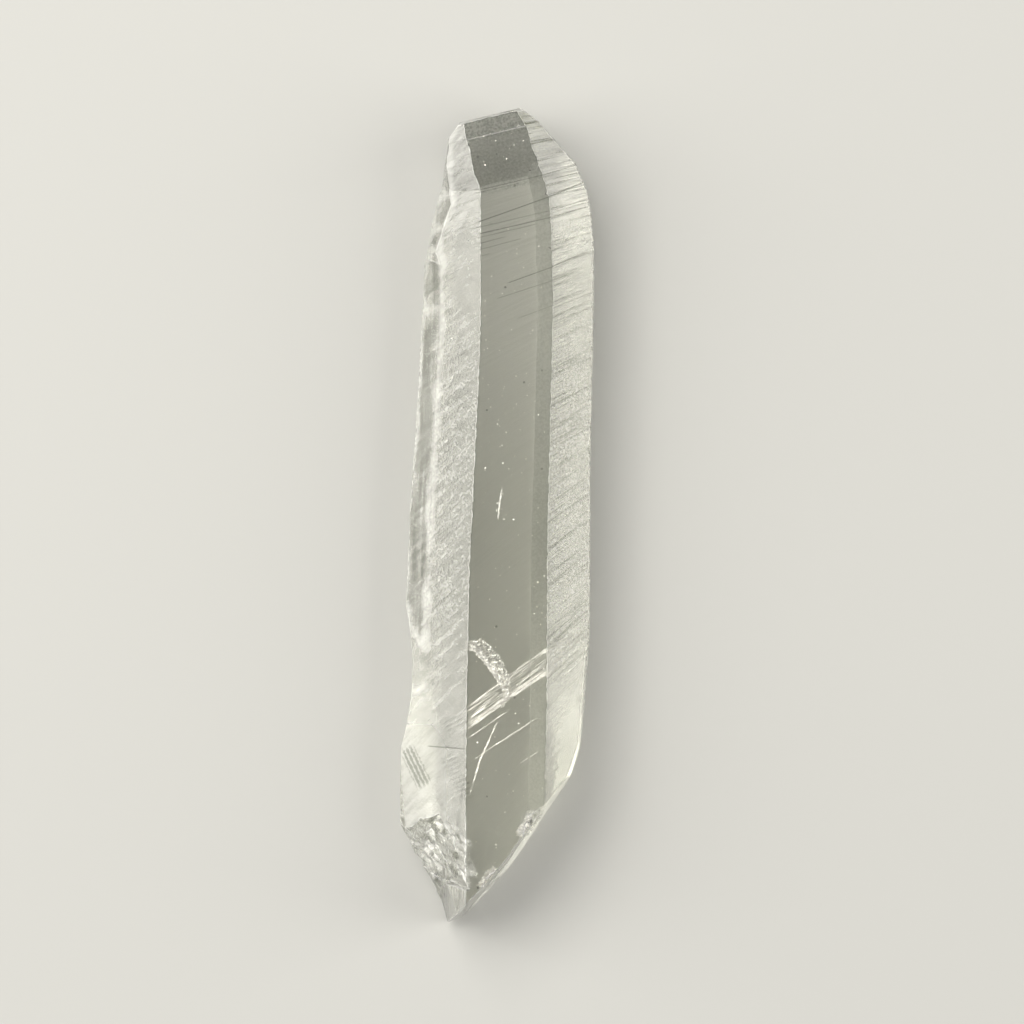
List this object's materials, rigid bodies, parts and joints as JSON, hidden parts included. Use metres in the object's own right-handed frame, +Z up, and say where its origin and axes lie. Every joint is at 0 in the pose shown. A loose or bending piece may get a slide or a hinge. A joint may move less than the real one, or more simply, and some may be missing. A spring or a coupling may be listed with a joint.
{
  "type": "nifontovite crystal specimen",
  "caption": "Clear, slightly warm prismatic nifontovite crystal with frosted bevels, a sloping termination with growth steps and a broken lower tip; it lies on its flat back face.",
  "frame": {"origin": "centre of the bounding box's base, on the surface that the crystal rests on", "axes": "+Y along the crystal towards its natural termination, +Z up out of the broad front face, +X to the right as the front face is looked at"},
  "size_m": [0.0192, 0.0806, 0.0098],
  "materials": {
    "clear_crystal": "clear front and back faces, finely etched and striated bevels, crushed and shell-like break at the lower tip"
  },
  "bodies": {
    "root": {"crystal": "clear_crystal"}
  },
  "joints": []
}
